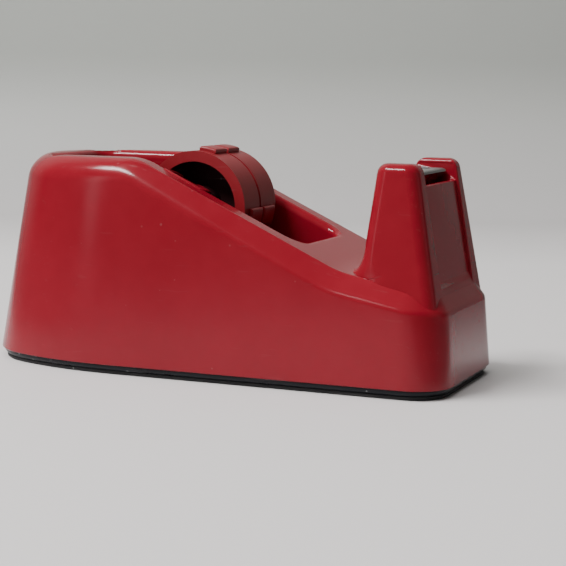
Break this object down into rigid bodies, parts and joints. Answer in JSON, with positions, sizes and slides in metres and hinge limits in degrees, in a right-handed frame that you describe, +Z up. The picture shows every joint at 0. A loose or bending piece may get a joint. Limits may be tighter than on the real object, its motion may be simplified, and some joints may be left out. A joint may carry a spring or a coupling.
{
  "type": "tape dispenser",
  "caption": "Desk tape dispenser: moulded body with a tape well, a lift-out hub that spins on a pin, and a toothed cutter between two cheeks.",
  "frame": {"origin": "middle of the footprint, on the surface the pad rests on", "axes": "+X points to the cutter, +Y is across the body, +Z is up"},
  "size_m": [0.1086, 0.0442, 0.048],
  "materials": {
    "red_plastic": "glossy",
    "hub_plastic": "satin gloss",
    "black_plastic": "satin",
    "black_rubber": "matte",
    "cast_iron": "as cast",
    "screw_steel": "zinc plated",
    "blade_steel": "brushed",
    "axle_steel": "ground"
  },
  "bodies": {
    "body": {"body_shell": "red_plastic", "base_plate": "black_plastic", "anti_slip_pad": "black_rubber", "floor_weight": "cast_iron", "front_weight": "cast_iron", "base_screws": "screw_steel", "weight_screws": "screw_steel", "cutter_blade": "blade_steel", "blade_rivets": "screw_steel"},
    "axle": {"hub_axle": "axle_steel"},
    "hub": {"hub_far_half": "hub_plastic", "hub_near_half": "hub_plastic"}
  },
  "joints": [
    {"name": "hub_lift", "type": "slide", "parent": "body", "child": "axle", "axis": [0, 0, 1], "range_m": [0, 0.05]},
    {"name": "hub_spin", "type": "hinge", "parent": "axle", "child": "hub", "pos_m": [-0.00505, 0, 0.0353], "axis": [0, 1, 0], "continuous": true}
  ]
}
